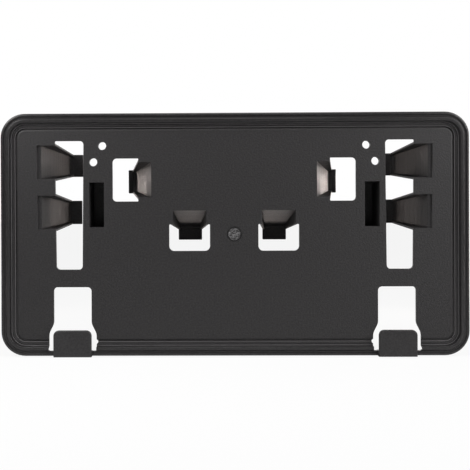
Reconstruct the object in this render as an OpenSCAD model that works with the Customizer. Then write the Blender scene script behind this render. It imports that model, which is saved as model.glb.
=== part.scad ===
// Number plate holder for a car bumper, one injection moulding.
// A grained panel lies inside a raised rim with a skirt behind it. Eight tapered channel legs reach back
// through open windows to the bumper, two hooks catch the plate's lower edge, and two deep pockets and
// four bossed screw holes fix its upper edge.
// Working frame of the modules: x to the right, y up the plate, z towards the viewer, and z = 0 at the
// panel's front face. The finished part is turned upright, with the viewer on its -Y side.

/* [Plate] */
// Width of the number plate
plate_w = 304.8; // [296:0.1:316]
// Height of the number plate
plate_h = 152.4; // [149:0.1:158]
// Gap between the plate and the lip, above and below
plate_play = 0.1; // [0.1:0.05:0.8]
// Gap between the plate and the lip, at each end
end_play = 0.75; // [0.1:0.05:1.2]

/* [Rim] */
// Width of the raised rim, from the outer edge to the plate's edge
lip_w = 6.9; // [6.5:0.1:7.8]
// How far the lip stands in front of the panel
lip_rise = 2.6; // [2:0.1:3.4]
// Where the lip's flat crest starts, from the outer edge
crest_u = 4.5; // [4.1:0.1:4.6]
// Radius of the lip's inner edge
lip_round = 0.8; // [0.3:0.1:1.2]
// Thickness of the lip's walls
lip_t = 2; // [1.6:0.1:2.2]
// How far the outer flange stands in front of the panel
flange_rise = 1.6; // [1.2:0.1:1.9]
// Width of the outer flange
flange_w = 2.3; // [2:0.1:2.5]
// Radius of the outer flange's edge
flange_round = 1.3; // [0.6:0.1:1.4]
// Depth of the fine valley between the flange and the lip
valley_d = 0.5; // [0.2:0.1:0.8]
// How far the skirt reaches behind the panel's front face
skirt_d = 9; // [6:0.5:14]
// Thickness of the skirt
skirt_t = 2.2; // [1.6:0.1:2.4]
// Radius of the outer corners
corner_r = 17; // [14:0.5:22]
// Depth of the fine groove next to the lip
fine_groove_d = 0.6; // [0.3:0.05:0.8]
// Width of the fine groove
fine_groove_w = 0.9; // [0.6:0.05:1.1]
// Width of the bead between the two grooves
bead_w = 1.9; // [1.2:0.1:2.4]
// Depth of the wide groove round the panel
wide_groove_d = 1; // [0.5:0.05:1.3]
// Width of the wide groove
wide_groove_w = 1.7; // [1.5:0.1:2.6]

/* [Panel] */
// Thickness of the panel
panel_t = 2.5; // [2.1:0.1:3.2]
// Diameter of the moulding gate's mark in the middle
gate_d = 8.4; // [6:0.2:12]
// Depth of the ring round the gate's mark
gate_ring_d = 0.5; // [0.2:0.1:1]

/* [Outer windows] */
// Distance from the middle to the window's inner edge
outer_win_x = 103; // [101.5:0.1:105]
// Width of the window at its top
outer_win_w = 19.8; // [17:0.1:22]
// How much narrower the window is at its bottom, on each side
outer_win_taper = 0.9; // [0:0.1:1.6]
// Height of the window's top edge above the middle
outer_win_top = 64.3; // [63:0.1:66]
// Depth of the window's bottom edge below the middle
outer_win_drop = 24; // [18:0.5:28]

/* [Inner windows] */
// Distance from the middle to the window's inner edge
inner_win_x = 65.5; // [60:0.5:67]
// Width of the window
inner_win_w = 17.7; // [15:0.1:19]
// Height of the window
inner_win_h = 29.5; // [28.6:0.1:32]
// Height of the window's middle above the panel's middle
inner_win_y = 37.4; // [32:0.1:42]

/* [Centre windows] */
// Distance between the middles of the two windows
centre_win_pitch = 61; // [54:0.2:68]
// Width of the window
centre_win_w = 27.9; // [27:0.1:31]
// Height of the window
centre_win_h = 18.2; // [16:0.1:21]
// Height of the window's top edge above the middle
centre_win_top = 6.8; // [2:0.2:10]

/* [Legs] */
// Thickness of the legs' walls
leg_t = 1.5; // [1.2:0.1:1.8]
// Thickness of the feet
foot_t = 2; // [1.5:0.1:2.8]
// How far the side walls reach over the foot
cheek_foot = 2.4; // [1.5:0.1:3.5]
// Depth of the outer legs, to the front of the foot
outer_leg_d = 41; // [32:0.5:50]
// Depth of the inner and centre legs, to the front of the foot
inner_leg_d = 33; // [26:0.5:40]
// Depth of the small ledge at an outer leg's mouth
ledge_d = 1.1; // [0.5:0.1:1.5]
// Length of that ledge
ledge_l = 2.8; // [2:0.1:3.5]
// Radius between an outer leg's ramp and its foot
outer_fillet = 2.6; // [1:0.1:4]
// Height of the upper outer leg's middle
upper_leg_y = 49.7; // [48.5:0.1:50.2]
// Height of the lower outer leg's middle
lower_leg_y = 15.2; // [12:0.1:18]
// Width of the outer legs' mouths
outer_mouth_w = 23; // [20:0.1:23.6]
// Width of the upper outer legs' feet
upper_foot_w = 16.3; // [13:0.1:18]
// Width of the lower outer legs' feet
lower_foot_w = 17.3; // [13:0.1:18]
// Length of the outer legs' mouths, outside the window
outer_mouth_l = 12.4; // [10:0.1:14]
// How far the upper outer legs' ramps come into the window at the foot
upper_run = 3.6; // [2:0.1:5]
// How far the lower outer legs' ramps come into the window at the foot
lower_run = 2.4; // [1:0.1:4]
// Length of the outer legs' feet past the ramp
outer_foot_l = 9.1; // [6:0.1:11]
// Width of the inner legs' mouths
inner_mouth_w = 24.4; // [21:0.1:25.4]
// Width of the inner legs' feet
inner_foot_w = 16.9; // [14:0.1:19]
// Length of the inner legs' mouths, outside the window
inner_mouth_l = 8.9; // [8:0.1:12]
// How far the inner legs' ramps come into the window at the foot
inner_run = 4.4; // [3:0.1:6]
// Length of the inner legs' feet past the ramp
inner_foot_l = 5.5; // [3.6:0.1:7]
// Width of the centre legs' mouths
centre_mouth_w = 23; // [20:0.1:23.5]
// Width of the centre legs' feet
centre_foot_w = 17; // [14:0.1:19]
// Length of the centre legs' mouths, above the window
centre_mouth_l = 9.6; // [8:0.1:12]
// How far the centre legs' ramps come into the window at the foot
centre_run = 2; // [0.5:0.1:3]
// Length of the centre legs' feet past the ramp
centre_foot_l = 9.8; // [7:0.1:12]

/* [Screw holes] */
// Distance between the two upper plate screws
plate_screw_pitch = 180.5; // [176:0.1:182]
// Distance from the plate's top edge down to those screws
plate_screw_drop = 15.4; // [14:0.1:18]
// Distance between the two lower screws
low_screw_pitch = 192.8; // [190:0.2:194]
// Distance from the plate's top edge down to the lower screws
low_screw_drop = 26.5; // [25.1:0.1:29]
// Diameter of the screw holes
screw_d = 5.6; // [4.2:0.1:6.4]
// Thickness of the bosses' walls
boss_t = 1.8; // [1.4:0.1:2]
// Length of the bosses, from the panel's front face
boss_l = 4; // [3.5:0.5:12]

/* [Nut pockets] */
// Distance between the middles of the two pockets
pocket_pitch = 188.2; // [187:0.2:191]
// Width of a pocket
pocket_w = 10; // [8:0.1:10.6]
// Height of a pocket
pocket_h = 30.7; // [24:0.2:34]
// Height of a pocket's middle above the panel's middle
pocket_y = 20.4; // [12:0.1:22]
// Depth of a pocket
pocket_d = 20; // [10:0.5:28]
// Thickness of a pocket's walls
pocket_t = 1.6; // [1.2:0.1:2]

/* [Plate hooks] */
// Distance between the middles of the two hooks
hook_pitch = 220.8; // [214:0.2:226]
// Width of a hook
hook_w = 26; // [22:0.1:28]
// Height of a hook, from the holder's lower edge
hook_h = 18.2; // [14:0.1:20]
// Space behind a hook for the plate, in front of the panel
hook_gap = 2.9; // [2.7:0.1:3.6]
// Thickness of a hook
hook_t = 2.3; // [1.8:0.1:3]
// Radius of a hook's upper corners
hook_r = 3.7; // [2:0.1:5]
// Bevel round a hook's front face
hook_bevel = 0.7; // [0.4:0.1:1.4]
// Gap between a hook and the panel, on each side
hook_side_gap = 3.4; // [2.6:0.1:4]
// Distance between the middles of the windows round the two hooks
hook_win_pitch = 221.8; // [214:0.2:226]
// Height of the window above a hook, from the holder's lower edge
hook_win_h = 47.2; // [42:0.2:50]

/* [Back ribs] */
// Thickness of the ribs
rib_t = 1.6; // [1.2:0.1:2]
// How far the ribs stand behind the panel's back
rib_h = 4.5; // [2:0.5:6]
// Depth below the middle of the rib that runs the whole width
long_rib_drop = 30; // [29.5:0.1:31]
// Distance between the two upright ribs
upright_rib_pitch = 104; // [80:1:120]

/* [Hidden] */
$fn = 48;
// Steps in a rounded corner of an outline
arc_steps = 6;
// Radius of the windows' corners
win_r = 2.7;
// Radius of the centre windows' lower corners
centre_win_r = 3.4;
// Radius between an inner or centre leg's ramp and its foot
small_fillet = 1;
// Radius where the panel turns into an inner or centre leg
small_entry_r = 0.8;
// Radius where an outer leg's ledge turns into its ramp
ledge_r = 0.7;
// Run of the short slope from the panel down to that ledge
ledge_lean = 0.5;
// Radius of a foot's corners
foot_r = 0.6;
// Outward lean of the skirt over its depth
skirt_draft = 0.3;
// Inward lean of a pocket's walls over its depth
pocket_draft = 0.4;
// Inward lean of a rib's sides over its height
rib_draft = 0.2;
// Width that the wall at the plate's edge leans over
seat_lean = 0.2;
// Flat strip between the lip and the fine groove
seat_flat = 0.5;
// Width and height of the bead's two bevels
bead_bevel = 0.3;
// Width of the bevel round the panel
field_bevel_w = 0.6;
// Height of the bevel round the panel
field_bevel_h = 0.4;
// Run of the valley's short side and of the wide groove's walls
groove_lean = 0.2;
// Width of the valley's floor
valley_w = 0.9;
// How far the hollow behind the lip reaches under the panel and under the lip's outer slope
hollow_reach = 0.4;
// How far the ring and the panel share material, so that they join
join = 0.5;
// How far a cut runs past the face that it leaves by
past = 1;
// Width of the small ring round the gate's mark
gate_ring_w = 1;
// How much a hook's window widens where it crosses the bead
hook_notch = 1;
// Height of a hook window's shoulders below the hook's top edge
shoulder_drop = 2.8;
// Slope of the shoulders, as the rise for each unit of width
shoulder_rise = 2;
// Radius of the shoulders' corners
shoulder_r = 8;
// Part of the lip's crest that runs on below a hook's window
hook_sill = 3.7;

seat_w = plate_w + 2 * end_play;
seat_h = plate_h + 2 * plate_play;
body_w = seat_w + 2 * lip_w;
body_h = seat_h + 2 * lip_w;
fine_u = lip_w + seat_flat;
bead_u = fine_u + fine_groove_w;
wide_u = bead_u + bead_w;
field_u = wide_u + wide_groove_w;
ring_u = field_u + join;
outer_win_end = outer_win_x + outer_win_w;
screw_y = plate_h / 2 - plate_screw_drop;
low_screw_y = plate_h / 2 - low_screw_drop;
hook_x = hook_pitch / 2;
bottom = -body_h / 2;
hook_top = bottom + hook_h;
hook_win_top = bottom + hook_win_h;
bead_y = bottom + (bead_u + wide_u) / 2;
hook_front = hook_gap + hook_t;

// Outlines

function unit(v) = v / norm(v);

// Turns a flat vector by an angle
function turned(v, a) = [v.x * cos(a) - v.y * sin(a), v.x * sin(a) + v.y * cos(a)];

// Points of the arc that rounds corner b between its neighbours a and c
function corner_arc(a, b, c, r) =
    let (
        to_a = unit(a - b),
        to_c = unit(c - b),
        opening = acos(to_a * to_c),
        middle = b + unit(to_a + to_c) * r / sin(opening / 2),
        start = b + to_a * r / tan(opening / 2) - middle,
        side = sign(to_a.x * to_c.y - to_a.y * to_c.x)
    )
    [for (i = [0:arc_steps]) middle + turned(start, -side * (180 - opening) * i / arc_steps)];

// An outline from corners written as [x, y, radius]
function rounded(corners) =
    let (n = len(corners), flat = [for (c = corners) [c.x, c.y]])
    [for (i = [0:n - 1])
        each corners[i][2] > 0
            ? corner_arc(flat[(i + n - 1) % n], flat[i], flat[(i + 1) % n], corners[i][2])
            : [flat[i]]];

// A rectangle's corners, from its lowest to its highest corner
function box_corners(low, high, r) =
    [[low.x, low.y, r], [high.x, low.y, r], [high.x, high.y, r], [low.x, high.y, r]];

// Both sides of the holder, of which the children draw the right one
module both_sides() {
    children();
    mirror([1, 0, 0]) children();
}

// A flat outline, extruded from one height to another
module slab(low, high) {
    translate([0, 0, low]) linear_extrude(high - low) children();
}

// Rim: lip, skirt, bead and grooves as one section, swept round the holder

// The section: x is the distance in from the outer edge, and y is the height in front of the panel
module rim_section() {
    flange_y = flange_rise - flange_round;
    valley_y = flange_rise - valley_d;
    wall_u = lip_w - seat_lean;
    polygon(concat(
        [[0, -skirt_d]],
        [for (a = [0:15:90]) [
            skirt_draft + flange_round - flange_round * cos(a),
            flange_y + flange_round * sin(a)
        ]],
        [
            [flange_w, flange_rise],
            [flange_w + groove_lean, valley_y],
            [flange_w + groove_lean + valley_w, valley_y],
            [crest_u, lip_rise]
        ],
        [for (a = [90:-15:0]) [
            wall_u - lip_round + lip_round * cos(a),
            lip_rise - lip_round + lip_round * sin(a)
        ]],
        [
            [lip_w, 0],
            [fine_u, 0],
            [fine_u + groove_lean, -fine_groove_d],
            [bead_u - groove_lean, -fine_groove_d],
            [bead_u, -bead_bevel],
            [bead_u + bead_bevel, 0],
            [wide_u - bead_bevel, 0],
            [wide_u, -bead_bevel],
            [wide_u + groove_lean, -wide_groove_d],
            [field_u - field_bevel_w - groove_lean, -wide_groove_d],
            [field_u - field_bevel_w, -field_bevel_h],
            [field_u, 0],
            [ring_u, 0],
            [ring_u, -panel_t],
            [lip_w - hollow_reach, -panel_t],
            [lip_w - lip_t, lip_rise - lip_t],
            [crest_u - hollow_reach, valley_y - lip_t],
            [skirt_draft + skirt_t, valley_y - lip_t],
            [skirt_t, -skirt_d]
        ]
    ));
}

// The children are a section, which runs round a rectangle with round corners
module swept_round(w, h, r) {
    for (quarter = [0:3]) {
        across = quarter % 2 == 0 ? h : w;
        along = quarter % 2 == 0 ? w : h;
        rotate([0, 0, 90 * quarter]) {
            translate([r - along / 2, -across / 2, 0])
                rotate([90, 0, 90])
                linear_extrude(along - 2 * r)
                children();
            translate([along / 2 - r, across / 2 - r, 0])
                rotate_extrude(angle = 90)
                translate([r, 0])
                mirror([1, 0])
                children();
        }
    }
}

module rim() {
    swept_round(body_w, body_h, corner_r) rim_section();
}

// Windows

module outer_window() {
    polygon(rounded([
        [outer_win_x + outer_win_taper, -outer_win_drop, win_r],
        [outer_win_end - outer_win_taper, -outer_win_drop, win_r],
        [outer_win_end, outer_win_top, foot_r],
        [outer_win_x, outer_win_top, win_r]
    ]));
}

module inner_window() {
    polygon(rounded([
        [inner_win_x, inner_win_y - inner_win_h / 2, foot_r],
        [inner_win_x + inner_win_w, inner_win_y - inner_win_h / 2, win_r],
        [inner_win_x + inner_win_w, inner_win_y + inner_win_h / 2, win_r],
        [inner_win_x, inner_win_y + inner_win_h / 2, foot_r]
    ]));
}

module centre_window() {
    left = centre_win_pitch / 2 - centre_win_w / 2;
    polygon(rounded([
        [left, centre_win_top - centre_win_h, centre_win_r],
        [left + centre_win_w, centre_win_top - centre_win_h, centre_win_r],
        [left + centre_win_w, centre_win_top, foot_r],
        [left, centre_win_top, foot_r]
    ]));
}

// The window above and round a hook: it is wider beside the hook, so that the hook can bend
module hook_window() {
    middle = hook_win_pitch / 2;
    half = hook_w / 2;
    slot = half + hook_side_gap;
    sill = bottom + hook_sill;
    shoulder = hook_top - shoulder_drop;
    neck = shoulder + shoulder_rise * hook_side_gap;
    inner = middle - slot;
    notch = hook_notch;
    polygon(rounded([
        [middle + slot, sill, notch],
        [middle + slot, shoulder, shoulder_r],
        [middle + half, neck, shoulder_r],
        [middle + half, hook_win_top, win_r],
        [middle - half, hook_win_top, win_r],
        [middle - half, neck, shoulder_r],
        [inner, shoulder, shoulder_r],
        [inner, bead_y + 2 * notch, 0],
        [inner - notch, bead_y + notch, 0],
        [inner - notch, bead_y, 0],
        [inner, bead_y - notch, 0],
        [inner, sill, notch]
    ]));
}

// Panel with its windows

module panel() {
    w = body_w - 2 * field_u;
    h = body_h - 2 * field_u;
    r = corner_r - field_u;
    slab(-panel_t, 0)
        polygon(rounded(box_corners([-w / 2, -h / 2], [w / 2, h / 2], r)));
}

module windows() {
    both_sides() {
        slab(-panel_t - past, past) {
            outer_window();
            inner_window();
            centre_window();
        }
        slab(-skirt_d - past, lip_rise + past) hook_window();
    }
}

// Legs
// Each leg stands on one edge of its window. In a leg's own frame x runs into the window, y across the
// leg and z to the viewer, and the origin is on the window's edge at the panel's face.

// How far the back of the ramp lies behind its floor, measured along x
function ramp_back(mouth, run, depth) = leg_t * norm([mouth + run, depth]) / depth;

module leg_body(mouth, mouth_w, run, depth, foot_l, foot_w) {
    back = ramp_back(mouth, run, depth);
    lean = (mouth + run) / depth;
    sole = -depth - foot_t;
    intersection() {
        rotate([90, 0, 0])
            linear_extrude(mouth_w + 4 * leg_t, center = true)
            polygon([
                [-mouth - back, 0],
                [0, 0],
                [run + cheek_foot, -depth],
                [run + cheek_foot, sole],
                [run - back + lean * foot_t, sole]
            ]);
        translate([-mouth - 2 * back, 0, 0])
            rotate([90, 0, 90])
            linear_extrude(mouth + run + cheek_foot + 3 * back)
            polygon([
                [-mouth_w / 2 - leg_t, 0],
                [-foot_w / 2, -depth],
                [-foot_w / 2, sole],
                [foot_w / 2, sole],
                [foot_w / 2, -depth],
                [mouth_w / 2 + leg_t, 0]
            ]);
    }
    slab(sole, -depth)
        polygon(rounded([
            [run, -foot_w / 2, 0],
            [run + foot_l, -foot_w / 2, foot_r],
            [run + foot_l, foot_w / 2, foot_r],
            [run, foot_w / 2, 0]
        ]));
}

// The hollow of a leg. An outer leg's mouth has a small ledge before its ramp, and the others have none.
module leg_hollow(mouth, mouth_w, run, depth, foot_w, ledge, fillet) {
    far = run + cheek_foot + past;
    before = -mouth - past;
    floor_w = foot_w / 2 - leg_t;
    entry = ledge > 0
        ? [[-mouth, 0, 0], [ledge_lean - mouth, -ledge_d, 0], [ledge - mouth, -ledge_d, ledge_r]]
        : [[-mouth, 0, small_entry_r]];
    intersection() {
        rotate([90, 0, 0])
            linear_extrude(mouth_w + 4 * leg_t, center = true)
            polygon(rounded(concat(
                [[before, 0, 0]],
                entry,
                [
                    [run, -depth, fillet],
                    [far, -depth, 0],
                    [far, past, 0],
                    [before, past, 0]
                ]
            )));
        translate([before - past, 0, 0])
            rotate([90, 0, 90])
            linear_extrude(far - before + 2 * past)
            polygon([
                [-mouth_w / 2, past],
                [-mouth_w / 2, 0],
                [-floor_w, -depth],
                [floor_w, -depth],
                [mouth_w / 2, 0],
                [mouth_w / 2, past]
            ]);
    }
}

// One leg, as its outer body or as the hollow that is cut out of it
module leg(hollow, mouth, mouth_w, run, depth, foot_l, foot_w, ledge, fillet) {
    if (hollow)
        leg_hollow(mouth, mouth_w, run, depth, foot_w, ledge, fillet);
    else
        leg_body(mouth - ledge, mouth_w, run, depth, foot_l, foot_w);
}

// Distance of the outer window's outer edge from the middle, at a height
function outer_edge(y) =
    outer_win_end - outer_win_taper * (outer_win_top - y) / (outer_win_top + outer_win_drop);

module outer_leg(hollow, y, run, foot_w) {
    translate([outer_edge(y), y, 0])
        mirror([1, 0, 0])
        leg(hollow, outer_mouth_l, outer_mouth_w, run, outer_leg_d,
            outer_foot_l, foot_w, ledge_l, outer_fillet);
}

module legs(hollow) {
    both_sides() {
        outer_leg(hollow, upper_leg_y, upper_run, upper_foot_w);
        outer_leg(hollow, lower_leg_y, lower_run, lower_foot_w);
        translate([inner_win_x, inner_win_y, 0])
            leg(hollow, inner_mouth_l, inner_mouth_w, inner_run, inner_leg_d,
                inner_foot_l, inner_foot_w, 0, small_fillet);
        translate([centre_win_pitch / 2, centre_win_top, 0])
            rotate([0, 0, -90])
            leg(hollow, centre_mouth_l, centre_mouth_w, centre_run, inner_leg_d,
                centre_foot_l, centre_foot_w, 0, small_fillet);
    }
}

// Screw bosses and nut pockets

module at_screws() {
    both_sides() {
        translate([plate_screw_pitch / 2, screw_y, 0]) children();
        translate([low_screw_pitch / 2, low_screw_y, 0]) children();
    }
}

module bosses() {
    at_screws()
        translate([0, 0, -boss_l])
        cylinder(h = boss_l - panel_t / 2, d = screw_d + 2 * boss_t);
}

module screw_holes() {
    at_screws()
        translate([0, 0, -boss_l - past])
        cylinder(h = boss_l + 2 * past, d = screw_d);
}

// A pocket's section at a height is a rectangle that narrows towards the back
module pocket_prism(w, h, depth, lean) {
    intersection() {
        rotate([90, 0, 0])
            linear_extrude(h + 2 * lean, center = true)
            polygon([[-w / 2, 0], [lean - w / 2, -depth], [w / 2 - lean, -depth], [w / 2, 0]]);
        translate([-w, 0, 0])
            rotate([90, 0, 90])
            linear_extrude(2 * w)
            polygon([[-h / 2, 0], [lean - h / 2, -depth], [h / 2 - lean, -depth], [h / 2, 0]]);
    }
}

module pocket_shells() {
    both_sides()
        translate([pocket_pitch / 2, pocket_y, 0])
        pocket_prism(pocket_w + 2 * pocket_t, pocket_h + 2 * pocket_t, pocket_d + pocket_t, pocket_draft);
}

module pocket_hollows() {
    both_sides()
        translate([pocket_pitch / 2, pocket_y, 0]) {
            pocket_prism(pocket_w, pocket_h, pocket_d, pocket_draft);
            translate([-pocket_w / 2, -pocket_h / 2, 0]) cube([pocket_w, pocket_h, past]);
        }
}

// Hooks for the plate's lower edge

// The hook's front outline, taken in by a margin
module hook_outline(margin) {
    half = hook_w / 2 - margin;
    r = hook_r - margin / 2;
    polygon(rounded([
        [-half, bottom + margin, 0],
        [half, bottom + margin, 0],
        [half, hook_top - margin, r],
        [-half, hook_top - margin, r]
    ]));
}

module hook() {
    slab(hook_gap, hook_front - hook_bevel) hook_outline(0);
    hull() {
        slab(hook_front - hook_bevel - 0.01, hook_front - hook_bevel) hook_outline(0);
        slab(hook_front - 0.01, hook_front) hook_outline(hook_bevel);
    }
    translate([-hook_w / 2, bottom, -panel_t])
        cube([hook_w, hook_sill, panel_t + hook_gap]);
}

module hooks() {
    both_sides() translate([hook_x, 0, 0]) hook();
}

// Ribs on the back

// A rib along x from one end to the other, at the working frame's origin
module rib(from, to) {
    translate([from, 0, 0])
        rotate([90, 0, 90])
        linear_extrude(to - from)
        polygon([
            [-rib_t / 2, -panel_t / 2],
            [rib_draft - rib_t / 2, -panel_t - rib_h],
            [rib_t / 2 - rib_draft, -panel_t - rib_h],
            [rib_t / 2, -panel_t / 2]
        ]);
}

module ribs() {
    side = body_w / 2 - skirt_t / 2 - skirt_draft;
    top = body_h / 2 - skirt_t / 2 - skirt_draft;
    translate([0, -long_rib_drop, 0]) rib(-side, side);
    both_sides()
        translate([upright_rib_pitch / 2, 0, 0])
        rotate([0, 0, 90])
        rib(-top, -long_rib_drop);
}

// Gate mark in the middle of the panel

module gate_mark() {
    slab(-gate_ring_d, past)
        difference() {
            circle(d = gate_d + 2 * gate_ring_w);
            circle(d = gate_d);
        }
}

module plate_holder() {
    color([0.23, 0.22, 0.225])
        rotate([90, 0, 0])
        difference() {
            union() {
                difference() {
                    union() {
                        rim();
                        panel();
                        ribs();
                    }
                    windows();
                }
                legs(false);
                bosses();
                pocket_shells();
                hooks();
            }
            legs(true);
            screw_holes();
            pocket_hollows();
            gate_mark();
        }
}

plate_holder();
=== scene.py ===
"""Looks of a moulded number plate holder: its rounded shell, its finishes and a plain studio.

Lengths are in metres. X runs along the plate, Z up it, and the viewer stands on the -Y side. The moulding
is one piece on one body, so its mesh rides on that body and keeps its place in its vertices.
"""

import logging
import math
from dataclasses import dataclass
from enum import Enum
from typing import Any, Dict, List, Sequence, Tuple

import bmesh
import bpy
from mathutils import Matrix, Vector

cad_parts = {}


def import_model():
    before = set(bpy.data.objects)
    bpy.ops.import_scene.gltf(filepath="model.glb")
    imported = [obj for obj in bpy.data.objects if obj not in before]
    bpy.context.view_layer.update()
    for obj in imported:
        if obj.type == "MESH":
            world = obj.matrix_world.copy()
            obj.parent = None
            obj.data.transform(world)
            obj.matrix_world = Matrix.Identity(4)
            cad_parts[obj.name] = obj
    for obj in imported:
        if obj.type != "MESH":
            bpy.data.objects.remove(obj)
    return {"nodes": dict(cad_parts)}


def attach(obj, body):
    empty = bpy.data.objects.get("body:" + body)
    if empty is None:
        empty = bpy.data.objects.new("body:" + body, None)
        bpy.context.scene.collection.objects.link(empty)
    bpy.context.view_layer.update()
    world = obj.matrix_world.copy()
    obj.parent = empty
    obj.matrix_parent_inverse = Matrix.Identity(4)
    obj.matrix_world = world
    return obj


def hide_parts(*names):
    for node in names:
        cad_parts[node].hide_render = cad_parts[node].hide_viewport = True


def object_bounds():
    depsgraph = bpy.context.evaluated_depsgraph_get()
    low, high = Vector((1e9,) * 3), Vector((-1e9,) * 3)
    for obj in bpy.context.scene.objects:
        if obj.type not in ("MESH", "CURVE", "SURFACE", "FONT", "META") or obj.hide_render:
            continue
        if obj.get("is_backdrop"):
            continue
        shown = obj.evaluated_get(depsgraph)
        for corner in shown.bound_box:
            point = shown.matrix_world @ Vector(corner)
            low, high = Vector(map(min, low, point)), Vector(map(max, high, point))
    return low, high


LOG = logging.getLogger("plate_holder_scene")
MM = 0.001
BODY = "root"
NODE = "plate_holder"
FINISH = "finish"
WHITE = (1.0, 1.0, 1.0)
WARM = (1.0, 0.88, 0.82)
# Sockets of a Mix node that mixes colours
MIX_SHARE, MIX_LOW, MIX_HIGH, MIX_RESULT = 0, 6, 7, 2


class Zone(Enum):
    """Surfaces that the tool maker finished differently, and rim bevels with a painted highlight, each
    with its number in the material.
    """

    GRAINED = 0.0
    SATIN = 1.0
    LINED = 2.0
    # Rim bevel faces that get a painted highlight: a lighter colour standing in for the shine of their
    # rounded edges.
    PAINTED_HIGHLIGHT = 3.0


# Shader trees


class Wire:
    """A socket of a shader tree, with Python's operators for the maths nodes."""

    def __init__(self, tree: "ShaderTree", socket: bpy.types.NodeSocket) -> None:
        """Keeps the tree and the output socket.

        Args:
            tree: The shader tree that the socket belongs to.
            socket: An output socket that carries a value or a vector.
        """
        self.tree = tree
        self.socket = socket

    def _maths(self, operation: str, *terms: Any) -> "Wire":
        """Adds one Math node.

        Args:
            operation: Name of the Math node's operation.
            terms: Wires or numbers, in the order of the node's inputs.

        Returns:
            The node's result.
        """
        sockets = {index: term for index, term in enumerate(terms)}
        return self.tree.node("ShaderNodeMath", {"operation": operation}, sockets)

    def __add__(self, other: Any) -> "Wire":
        """Gives self + other."""
        return self._maths("ADD", self, other)

    def __radd__(self, other: Any) -> "Wire":
        """Gives other + self."""
        return self._maths("ADD", other, self)

    def __sub__(self, other: Any) -> "Wire":
        """Gives self - other."""
        return self._maths("SUBTRACT", self, other)

    def __rsub__(self, other: Any) -> "Wire":
        """Gives other - self."""
        return self._maths("SUBTRACT", other, self)

    def __mul__(self, other: Any) -> "Wire":
        """Gives self * other."""
        return self._maths("MULTIPLY", self, other)

    def __rmul__(self, other: Any) -> "Wire":
        """Gives other * self."""
        return self._maths("MULTIPLY", other, self)

    def above(self, least: float) -> "Wire":
        """Gives self, or the least value where self is lower."""
        return self._maths("MAXIMUM", self, least)

    def to_power(self, exponent: float) -> "Wire":
        """Gives self to a power."""
        return self._maths("POWER", self, exponent)

    def ramp(self, low: float, high: float) -> "Wire":
        """Runs smoothly from 0 at one value to 1 at another.

        Args:
            low: Value at which the result is 0.
            high: Value at which the result is 1.

        Returns:
            The smooth ramp.
        """
        settings = {"interpolation_type": "SMOOTHSTEP"}
        limits = {"From Min": low, "From Max": high}
        return self.tree.node("ShaderNodeMapRange", settings, {"Value": self, **limits})


class ShaderTree:
    """The node tree of a material or of the room's light, with one method that makes any node."""

    def __init__(self, owner: Any, output: str = "ShaderNodeOutputMaterial") -> None:
        """Empties the owner's node tree.

        Args:
            owner: The material or world.
            output: The type of its output node.
        """
        self.owner = owner
        self.output = output
        owner.use_nodes = True
        self.tree = owner.node_tree
        self.tree.nodes.clear()

    def node(self, kind: str, settings: Dict[str, Any], sockets: Dict[Any, Any], output: Any = 0) -> Wire:
        """Adds a node, sets it, and feeds its inputs.

        Args:
            kind: The node's type.
            settings: Properties that are set before any input.
            sockets: Values or wires by the input's name or index.
            output: Name or index of the output to give back.

        Returns:
            The chosen output.
        """
        made = self.tree.nodes.new(kind)
        for key, value in settings.items():
            setattr(made, key, value)
        for key, value in sockets.items():
            if isinstance(value, Wire):
                self.tree.links.new(value.socket, made.inputs[key])
            else:
                made.inputs[key].default_value = value
        return Wire(self, made.outputs[output] if len(made.outputs) else None)

    def mix(self, low: Any, high: Any, share: Any) -> Wire:
        """Mixes two colours.

        Args:
            low: Colour at share 0.
            high: Colour at share 1.
            share: The share.

        Returns:
            The mixed colour.
        """
        sockets = {MIX_SHARE: share, MIX_LOW: low, MIX_HIGH: high}
        return self.node("ShaderNodeMix", {"data_type": "RGBA"}, sockets, MIX_RESULT)

    def finish(self, surface: Wire) -> Any:
        """Connects a shader to the output.

        Args:
            surface: The shader's wire.

        Returns:
            The finished material or world.
        """
        self.node(self.output, {}, {"Surface": surface})
        return self.owner


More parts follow.
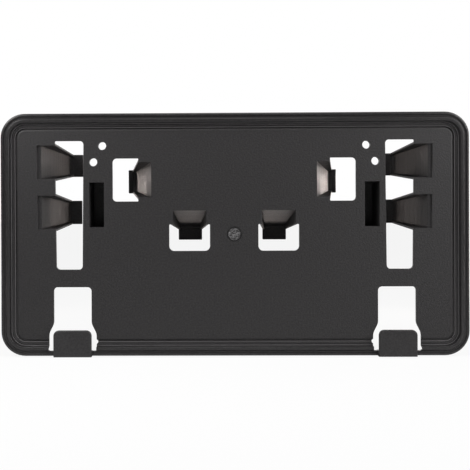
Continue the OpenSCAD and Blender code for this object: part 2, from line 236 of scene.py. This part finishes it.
@dataclass(frozen=True)
class BlackPlastic:
    """Black moulding plastic: grained panel, satin rim with a painted highlight on its edges, lined legs
    and a torn gate.
    """

    dark: Tuple[float, float, float, float] = (0.0010, 0.0009, 0.0010, 1.0)
    light: Tuple[float, float, float, float] = (0.0390, 0.0362, 0.0374, 1.0)
    # Painted highlight: a lighter colour on the rim's bevel faces that stands in for the shine of their
    # rounded edges.
    painted_highlight: Tuple[float, float, float, float] = (0.11, 0.104, 0.107, 1.0)
    torn: Tuple[float, float, float, float] = (0.13, 0.127, 0.129, 1.0)
    grain_pitch: float = 1.1 * MM
    grain_detail: float = 2.0
    grain_height: float = 0.25 * MM
    line_pitch: float = 5.0 * MM
    line_height: float = 0.25 * MM
    line_detail: float = 3.0
    scar_place: Tuple[float, float, float] = (0.0, 0.0, 0.0)
    scar_reach: Tuple[float, float] = (4.0 * MM, 4.3 * MM)
    scar_depth_weight: float = 2.0
    scar_pitch: float = 1.3 * MM
    scar_height: float = 0.35 * MM
    scar_spots: Tuple[float, float] = (0.38, 0.62)
    rough_grain: float = 0.52
    rough_satin: float = 0.34
    rough_lined: float = 0.42
    ior: float = 1.46

    def material(self) -> bpy.types.Material:
        """Builds the node tree.

        Returns:
            The plastic's material.
        """
        t = ShaderTree(bpy.data.materials.new("black_plastic"))
        place = t.node("ShaderNodeTexCoord", {}, {}, "Object")
        finish = t.node("ShaderNodeAttribute", {"attribute_name": FINISH}, {}, "Fac")
        grained = 1 - finish.ramp(Zone.GRAINED.value, Zone.SATIN.value)
        lined = finish.ramp(Zone.SATIN.value, Zone.LINED.value)
        grain = self._noise(t, place, self.grain_pitch)
        depth = t.node("ShaderNodeSeparateXYZ", {}, {"Vector": place}, "Y")
        lines = t.node("ShaderNodeTexNoise", {"noise_dimensions": "1D"}, {
            "W": depth * (1 / self.line_pitch), "Detail": self.line_detail,
        })
        weights = (1.0, self.scar_depth_weight, 1.0)
        near = t.node("ShaderNodeVectorMath", {"operation": "MULTIPLY"}, {0: place, 1: weights})
        distance = {"operation": "DISTANCE"}
        reach = t.node("ShaderNodeVectorMath", distance, {0: near, 1: self.scar_place}, "Value")
        scar = grained * (1 - reach.ramp(*self.scar_reach))
        torn = self._noise(t, place, self.scar_pitch).ramp(*self.scar_spots)
        # Mask of the rim's bevel faces, which get the painted highlight colour.
        painted_highlight = finish.ramp(Zone.LINED.value, Zone.PAINTED_HIGHLIGHT.value)
        shade = t.mix(t.mix(self.dark, self.light, grain), self.painted_highlight, painted_highlight)
        colour = t.mix(shade, self.torn, scar * torn)
        height = (
            grain * grained * self.grain_height + lines * lined * self.line_height
            + torn * scar * self.scar_height
        )
        bump = t.node("ShaderNodeBump", {}, {"Distance": 1.0, "Height": height})
        rough = (
            self.rough_satin + grained * (self.rough_grain - self.rough_satin)
            + lined * (self.rough_lined - self.rough_satin)
        )
        surface = t.node("ShaderNodeBsdfPrincipled", {}, {
            "Base Color": colour, "Roughness": rough, "Normal": bump, "IOR": self.ior,
        })
        return t.finish(surface)

    def _noise(self, t: ShaderTree, place: Wire, pitch: float) -> Wire:
        """Gives soft noise of a pitch.

        Args:
            t: The tree.
            place: The coordinates.
            pitch: Distance between the noise's lumps.

        Returns:
            Noise from 0 to 1.
        """
        return t.node("ShaderNodeTexNoise", {}, {
            "Vector": place, "Scale": 1 / pitch, "Detail": self.grain_detail,
        })


# Meshes


@dataclass
class MouldedShell:
    """The moulding itself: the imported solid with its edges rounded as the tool's edges are."""

    edge_radius: float = 0.25 * MM
    field_radius: float = 0.45 * MM
    least_radius: float = 0.1 * MM
    room_share: float = 0.38
    field_share: float = 0.6
    rim_reach: float = 14.0 * MM
    rim_width: float = 11.5 * MM
    edge_steps: int = 2
    sharp_angle: float = math.radians(28.0)
    flat_angle: float = math.radians(0.2)
    merge_distance: float = 0.002 * MM
    # Depth and slope of the rim's bevel faces that get the painted highlight.
    painted_highlight_depth: float = 0.8 * MM
    painted_highlight_slope: Tuple[float, float] = (0.3, 0.95)
    panel_thickness: float = 2.5 * MM
    band_width: float = 0.5 * MM
    field_area: float = 2000.0 * MM * MM
    normal_weight: int = 100

    def build(self, source: bpy.types.Object) -> bpy.types.Object:
        """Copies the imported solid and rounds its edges.

        Args:
            source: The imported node's object.

        Returns:
            The rounded shell.
        """
        mesh = bpy.data.meshes.new("moulding")
        shell = bmesh.new()
        shell.from_mesh(source.data)
        bmesh.ops.remove_doubles(shell, verts=shell.verts, dist=self.merge_distance)
        level = {face for face in shell.faces if self._faces_front(face)}
        loose = [edge for edge in shell.edges if not all(face in level for face in edge.link_faces)]
        bmesh.ops.dissolve_limit(shell, angle_limit=self.flat_angle, verts=[], edges=loose)
        for height in (0.0, self.panel_thickness):
            self._frame_windows(shell, height)
        self._choose_edges(shell)
        self._mark_zones(shell)
        shell.to_mesh(mesh)
        shell.free()
        mesh.materials.clear()
        piece = bpy.data.objects.new("moulding", mesh)
        bpy.context.scene.collection.objects.link(piece)
        bevel = piece.modifiers.new("edges", "BEVEL")
        bevel.width = self.field_radius
        bevel.segments = self.edge_steps
        bevel.limit_method = "WEIGHT"
        bevel.use_clamp_overlap = False
        bevel.miter_outer = "MITER_ARC"
        weights = piece.modifiers.new("normals", "WEIGHTED_NORMAL")
        weights.weight = self.normal_weight
        weights.mode = "FACE_AREA"
        weights.keep_sharp = True
        return piece

    def _frame_windows(self, shell: bmesh.types.BMesh, height: float) -> None:
        """Lays a narrow band of faces round the panel's fields and windows, so their edges round evenly.

        Args:
            shell: The merged solid.
            height: The panel face's place along Y.
        """
        level = [face for face in shell.faces if self._faces_front(face) and self._lies_at(face, height)]
        left = set(level)
        fields: List[List[bmesh.types.BMFace]] = []
        for start in level:
            field: List[bmesh.types.BMFace] = []
            waiting = [start]
            while waiting:
                face = waiting.pop()
                if face in left:
                    left.remove(face)
                    field.append(face)
                    waiting.extend(near for edge in face.edges for near in edge.link_faces)
            if sum(face.calc_area() for face in field) > self.field_area:
                fields.append(field)
        for field in fields:
            self._frame_field(shell, field)

    def _frame_field(self, shell: bmesh.types.BMesh, field: List[bmesh.types.BMFace]) -> None:
        """Lays the band inside one field of the panel, and evens out the field's triangles.

        Args:
            shell: The merged solid.
            field: The field's faces.
        """
        held = set(field)
        band = bmesh.ops.inset_region(shell, faces=field, thickness=self.band_width, use_even_offset=True)
        for face in field + band["faces"]:
            face.tag = True
        inside = [edge for edge in shell.edges if all(near in held for near in edge.link_faces)]
        bmesh.ops.beautify_fill(shell, faces=field, edges=inside, method="AREA")

    def _lies_at(self, face: bmesh.types.BMFace, height: float) -> bool:
        """Says if a face that looks to the front or back lies at a height."""
        return abs(face.verts[0].co.y - height) < self.merge_distance

    def _faces_front(self, face: bmesh.types.BMFace) -> bool:
        """Says if a face looks straight to the front or the back, as the ones with holes in them do."""
        return abs(face.normal.y) > math.cos(self.flat_angle)

    def _choose_edges(self, shell: bmesh.types.BMesh) -> None:
        """Marks the edges that have room for a radius, and keeps the other corners sharp.

        Args:
            shell: The merged solid.
        """
        weight = shell.edges.layers.float.new("bevel_weight_edge")
        inside = self._half_inside(shell, self.rim_reach)
        for face in shell.faces:
            face.smooth = True
        for edge in shell.edges:
            if not edge.is_manifold or edge.calc_face_angle(0.0) < self.sharp_angle:
                continue
            middle = (edge.verts[0].co + edge.verts[1].co) / 2
            radius = self._radius(edge, self._past(middle, inside))
            if edge.is_convex and radius > self.least_radius:
                edge[weight] = radius / self.field_radius
            else:
                edge.smooth = False

    def _radius(self, edge: bmesh.types.BMEdge, on_rim: bool) -> float:
        """Chooses an edge's radius by the room that its faces leave.

        Args:
            edge: The edge.
            on_rim: Whether the edge belongs to the rim, whose beads end level with the panel.

        Returns:
            The radius.
        """
        most, share = self.edge_radius, self.room_share
        if on_rim and all(abs(vert.co.y) < self.merge_distance for vert in edge.verts):
            most, share = self.field_radius, self.field_share
        rooms = [self._room(edge, face) for face in edge.link_faces if not face.tag]
        return min(most, share * min(rooms, default=math.inf))

    def _half_inside(self, shell: bmesh.types.BMesh, width: float) -> Tuple[float, float]:
        """Gives half the width and half the height of what lies inside a rim of a width."""
        corner = [max(vert.co[axis] for vert in shell.verts) - width for axis in (0, 2)]
        return corner[0], corner[1]

    def _past(self, place: Vector, half: Tuple[float, float]) -> bool:
        """Says if a place lies outside the middle part of that half width and half height."""
        return abs(place.x) > half[0] or abs(place.z) > half[1]

    def _mark_zones(self, shell: bmesh.types.BMesh) -> None:
        """Writes the finish of each face: grained panel, satin rim with a painted highlight on its
        front-facing bevels, and lined walls.

        Args:
            shell: The merged solid.
        """
        finish = shell.faces.layers.float.new(FINISH)
        inside = self._half_inside(shell, self.rim_width)
        for face in shell.faces:
            middle = face.calc_center_median()
            on_panel = any(self._lies_at(face, height) for height in (0.0, self.panel_thickness))
            zone = Zone.LINED
            if self._past(middle, inside):
                # Front-facing bevels near the rim's front get the painted highlight zone.
                sloped = self.painted_highlight_slope[0] < -face.normal.y < self.painted_highlight_slope[1]
                zone = Zone.PAINTED_HIGHLIGHT if sloped and abs(middle.y) < self.painted_highlight_depth else Zone.SATIN
            elif self._faces_front(face) and on_panel:
                zone = Zone.GRAINED
            face[finish] = zone.value

    def _room(self, edge: bmesh.types.BMEdge, face: bmesh.types.BMFace) -> float:
        """Measures how far a face reaches from one of its edges.

        Args:
            edge: The edge.
            face: One of its faces.

        Returns:
            The distance.
        """
        start = edge.verts[0].co
        along = (edge.verts[1].co - start).normalized()
        return max((vert.co - start - (vert.co - start).dot(along) * along).length for vert in face.verts)


# Studio


@dataclass(frozen=True)
class PhotoCamera:
    """The camera, placed as the photograph's perspective says."""

    frame_px: float = 470.0
    sensor: float = 36.0
    px_per_mm: float = 1.463
    place: Tuple[float, float, float] = (-21.5 * MM, -500.0 * MM, 16.4 * MM)
    aim_px: Tuple[float, float] = (193.7, 213.3)
    pitch_deg: float = -0.232
    roll_deg: float = 0.234
    yaw_deg: float = 0.703
    clip: Tuple[float, float] = (0.01, 50.0)

    def build(self) -> bpy.types.Object:
        """Adds the camera and makes it the scene's own.

        Returns:
            The camera.
        """
        data = bpy.data.cameras.new("camera")
        data.sensor_width = self.sensor
        data.lens = self.px_per_mm * abs(self.place[1]) / MM * self.sensor / self.frame_px
        half = self.frame_px / 2
        data.shift_x = (half - self.aim_px[0]) / self.frame_px
        data.shift_y = (self.aim_px[1] - half) / self.frame_px
        data.clip_start, data.clip_end = self.clip
        camera = bpy.data.objects.new("camera", data)
        camera.location = self.place
        turn = (90.0 + self.pitch_deg, self.roll_deg, self.yaw_deg)
        camera.rotation_euler = tuple(math.radians(angle) for angle in turn)
        bpy.context.scene.collection.objects.link(camera)
        bpy.context.scene.camera = camera
        return camera


@dataclass(frozen=True)
class Glow:
    """A soft patch of light far away in the room."""

    turn_deg: float
    rise_deg: float
    strength: float
    sharpness: float

    def direction(self) -> Tuple[float, float, float]:
        """Gives the way to the patch, turned from the viewer's side to the right, and raised."""
        turn, rise = math.radians(self.turn_deg), math.radians(self.rise_deg)
        return (math.sin(turn) * math.cos(rise), -math.cos(turn) * math.cos(rise), math.sin(rise))


@dataclass(frozen=True)
class Softbox:
    """A square lamp that looks at the holder, with a grid on it where its light is to stay narrow."""

    name: str
    place: Tuple[float, float, float]
    size: float
    power: float
    colour: Tuple[float, float, float] = WHITE
    aim: Tuple[float, float, float] = (0.0, 0.0, 0.0)
    spread_deg: float = 180.0

    def build(self) -> None:
        """Hangs the lamp."""
        data = bpy.data.lights.new(self.name, "AREA")
        data.color = self.colour
        data.shape = "SQUARE"
        data.size = self.size
        data.energy = self.power
        data.spread = math.radians(self.spread_deg)
        lamp = bpy.data.objects.new(self.name, data)
        lamp.location = self.place
        lamp.rotation_euler = (Vector(self.aim) - Vector(self.place)).to_track_quat("-Z", "Y").to_euler()
        lamp.visible_camera = False
        bpy.context.scene.collection.objects.link(lamp)


@dataclass
class Studio:
    """A pale floor, a white backdrop, a dim room with soft glows, and soft lamps."""

    floor_drop: float = 0.0004
    floor_size: float = 12.0
    floor_shade: Tuple[float, float, float] = (0.9, 0.9, 0.9)
    floor_seen: float = 0.9
    floor_mirrored: float = 0.2
    backdrop_edge: Tuple[float, float] = (0.90, 0.99)
    glows: Tuple[Glow, ...] = (
        Glow(150.0, 0.0, 1.5, 20.0),
        Glow(-150.0, 0.0, 0.9, 20.0),
    )
    lamps: Tuple[Softbox, ...] = (
        Softbox("lamp_front_high", (0.0, -0.15, 0.42), 0.25, 0.86),
        Softbox("lamp_right", (0.651, -0.376, 0.274), 0.30, 3.0),
        Softbox("lamp_near_right", (0.298, -0.172, 0.241), 0.16, 0.33),
        Softbox("lamp_near_left", (-0.298, -0.172, 0.241), 0.16, 0.98),
        Softbox("lamp_low_right", (0.031, 0.08, -0.075), 0.02, 0.00045, WARM, (0.031, 0.02, 0.013), 30.0),
        Softbox("lamp_low_left", (-0.031, 0.08, -0.075), 0.02, 0.0003, WARM, (-0.031, 0.02, 0.013), 30.0),
        Softbox("lamp_inner_right", (0.28, 0.10, 0.037), 0.03, 0.0064, WARM, (0.063, 0.02, 0.037), 16.0),
        Softbox("lamp_inner_left", (-0.28, 0.10, 0.037), 0.03, 0.0032, WARM, (-0.063, 0.02, 0.037), 16.0),
        Softbox("lamp_side_right", (0.28, 0.10, 0.02), 0.16, 0.070, WARM, (0.06, 0.02, 0.045), 38.0),
        Softbox("lamp_side_left", (-0.28, 0.10, 0.02), 0.16, 0.034, WARM, (-0.06, 0.02, 0.04), 38.0),
        Softbox("lamp_back_right", (0.22, 0.22, 0.02), 0.10, 0.09, WARM),
        Softbox("lamp_back_left", (-0.22, 0.22, 0.02), 0.10, 0.05, WARM),
    )

    def build(self, low: Sequence[float]) -> None:
        """Makes the room.

        Args:
            low: The object's lowest corner.
        """
        self._world()
        self._floor(low[2] - self.floor_drop)
        for lamp in self.lamps:
            lamp.build()

    def _world(self) -> None:
        """Gives the lens a white room, reflections a white backdrop, and the holder its glows."""
        world = bpy.data.worlds.new("room")
        bpy.context.scene.world = world
        t = ShaderTree(world, "ShaderNodeOutputWorld")
        way = t.node("ShaderNodeTexCoord", {}, {}, "Generated")
        light = 0.0
        for glow in self.glows:
            product = {"operation": "DOT_PRODUCT"}
            facing = t.node("ShaderNodeVectorMath", product, {0: way, 1: glow.direction()}, "Value")
            light = facing.above(0.0).to_power(glow.sharpness) * glow.strength + light
        behind = t.node("ShaderNodeSeparateXYZ", {}, {"Vector": way}, "Y").ramp(*self.backdrop_edge)
        lens, mirrored = self._rays(t)
        strength = lens + (1 - lens) * (mirrored * behind + light)
        t.finish(t.node("ShaderNodeBackground", {}, {"Color": (*WHITE, 1.0), "Strength": strength}))

    def _rays(self, t: ShaderTree) -> Tuple[Wire, Wire]:
        """Tells rays apart by what they come from.

        Args:
            t: The tree.

        Returns:
            1 for rays from the lens, and 1 for rays that a surface mirrors or lets through.
        """
        lens = t.node("ShaderNodeLightPath", {}, {}, "Is Camera Ray")
        mirror = t.node("ShaderNodeLightPath", {}, {}, "Is Glossy Ray")
        glass = t.node("ShaderNodeLightPath", {}, {}, "Is Transmission Ray")
        return lens, mirror + glass

    def _floor(self, height: float) -> None:
        """Lays a white floor that keeps a faint shadow.

        Args:
            height: The floor's height.
        """
        half = self.floor_size / 2
        mesh = bpy.data.meshes.new("floor")
        corners = [(-half, -half), (half, -half), (half, half), (-half, half)]
        mesh.from_pydata([(*corner, height) for corner in corners], [], [range(len(corners))])
        floor = bpy.data.objects.new("floor", mesh)
        bpy.context.scene.collection.objects.link(floor)
        t = ShaderTree(bpy.data.materials.new("floor"))
        plain = t.node("ShaderNodeBsdfDiffuse", {}, {"Color": (*self.floor_shade, 1.0)})
        glow = t.node("ShaderNodeEmission", {}, {"Color": (*WHITE, 1.0), "Strength": 1.0})
        lens, mirrored = self._rays(t)
        share = lens * self.floor_seen + mirrored * self.floor_mirrored
        mesh.materials.append(t.finish(t.node("ShaderNodeMixShader", {}, {0: share, 1: plain, 2: glow})))
        floor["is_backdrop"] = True


def main() -> None:
    """Builds the scene and reports each piece."""
    logging.basicConfig(level=logging.INFO, format="%(name)s: %(message)s")
    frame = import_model()
    packed_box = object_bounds()
    bpy.context.scene.view_settings.view_transform = "Standard"
    plastic = BlackPlastic().material()
    shell = MouldedShell().build(frame["nodes"][NODE])
    shell.data.materials.append(plastic)
    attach(shell, BODY)
    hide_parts(NODE)
    LOG.info("shell: %d vertices", len(shell.data.vertices))
    PhotoCamera().build()
    Studio().build(packed_box[0])


if __name__ == "__main__":
    main()
